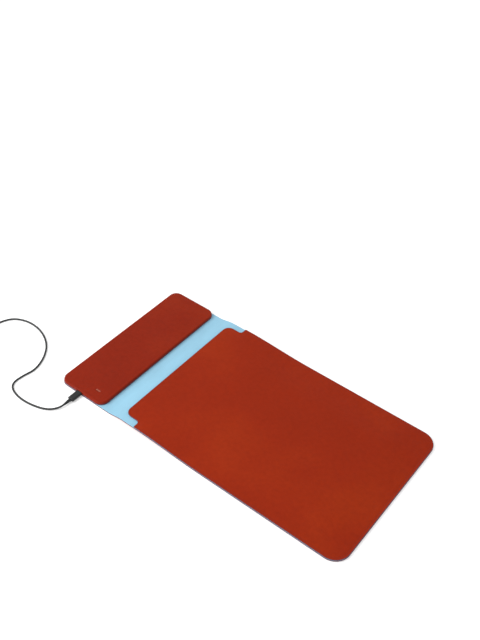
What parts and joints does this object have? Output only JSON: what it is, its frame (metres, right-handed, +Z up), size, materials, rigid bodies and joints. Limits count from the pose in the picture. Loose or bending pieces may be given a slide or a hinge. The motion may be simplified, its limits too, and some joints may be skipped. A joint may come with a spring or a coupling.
{
  "type": "wireless charging pad",
  "caption": "Slim leather laptop sleeve laid open as a desk mat, with a wireless phone and earbuds charger in its fold-over flap and a USB-C lead.",
  "frame": {"origin": "on the table under the middle of the open sleeve, cable not counted", "axes": "+X from the flap to the pocket's closed end, +Y away from the cable side, +Z up"},
  "size_m": [0.6896, 0.3247, 0.0076],
  "materials": {
    "outer_leather": "smooth cognac red leather, semi-matte, fine grain",
    "lining": "light blue smooth lining, matte",
    "reinforcement_board": "bonded fibre board",
    "housing_plastic": "black moulded plastic",
    "steel": "bright formed steel",
    "light_window": "clear diffusing plastic",
    "nickel_plate": "nickel plate",
    "ferrite": "dark sintered ferrite",
    "copper": "enamelled copper wire",
    "circuit_board": "green solder mask",
    "flex_film": "amber film",
    "chip_resin": "black moulded resin",
    "capacitor_ceramic": "tan ceramic",
    "led": "white diffused",
    "cable_plastic": "near-black moulded plastic",
    "cable_jacket": "dark grey satin jacket",
    "tie_fabric": "black hook-and-loop strap"
  },
  "bodies": {
    "charger": {"flap_back_leather": "outer_leather", "flap_lining": "lining", "charging_panel_leather": "outer_leather", "charger_base_tray": "housing_plastic", "charger_top_plate": "housing_plastic", "tray_screws": "steel", "status_light_window": "light_window", "closure_magnets": "nickel_plate", "phone_coil_carrier": "housing_plastic", "phone_ferrite_plate": "ferrite", "phone_coil": "copper", "phone_coil_leads": "copper", "earbuds_coil_carrier": "housing_plastic", "earbuds_ferrite_plate": "ferrite", "earbuds_coil": "copper", "earbuds_coil_leads": "copper", "coil_temperature_sensors": "chip_resin", "port_board": "circuit_board", "driver_board": "circuit_board", "board_flex_cable": "flex_film", "controller_chip": "chip_resin", "coil_driver_chips": "chip_resin", "resonant_capacitors": "capacitor_ceramic", "power_inductor": "ferrite", "usb_power_chip": "chip_resin", "status_led": "led", "usb_c_port_shell": "steel", "usb_c_port_tongue": "cable_plastic"},
    "pocket": {"pocket_back_leather": "outer_leather", "pocket_back_reinforcement": "reinforcement_board", "pocket_back_lining": "lining", "pocket_front_lining": "lining", "closure_steel_discs": "nickel_plate", "pocket_front_leather": "outer_leather"},
    "cable": {"near_plug_shell": "steel", "near_plug_insert": "cable_plastic", "near_plug_overmold": "cable_plastic", "near_strain_relief": "cable_jacket", "cord_tube": "cable_jacket", "cord_coil": "cable_jacket", "cord_tie": "tie_fabric", "cord_tail": "cable_jacket", "far_strain_relief": "cable_jacket", "far_plug_overmold": "cable_plastic", "far_plug_shell": "steel", "far_plug_insert": "cable_plastic"}
  },
  "joints": [
    {"name": "flap_fold", "type": "hinge", "parent": "charger", "child": "pocket", "pos_m": [-0.1385, 0, 0.0075], "axis": [0, -1, 0], "range_deg": [0, 179.5]},
    {"name": "cable_unplug", "type": "slide", "parent": "charger", "child": "cable", "axis": [0, -1, 0], "range_m": [0, 0.015]}
  ]
}
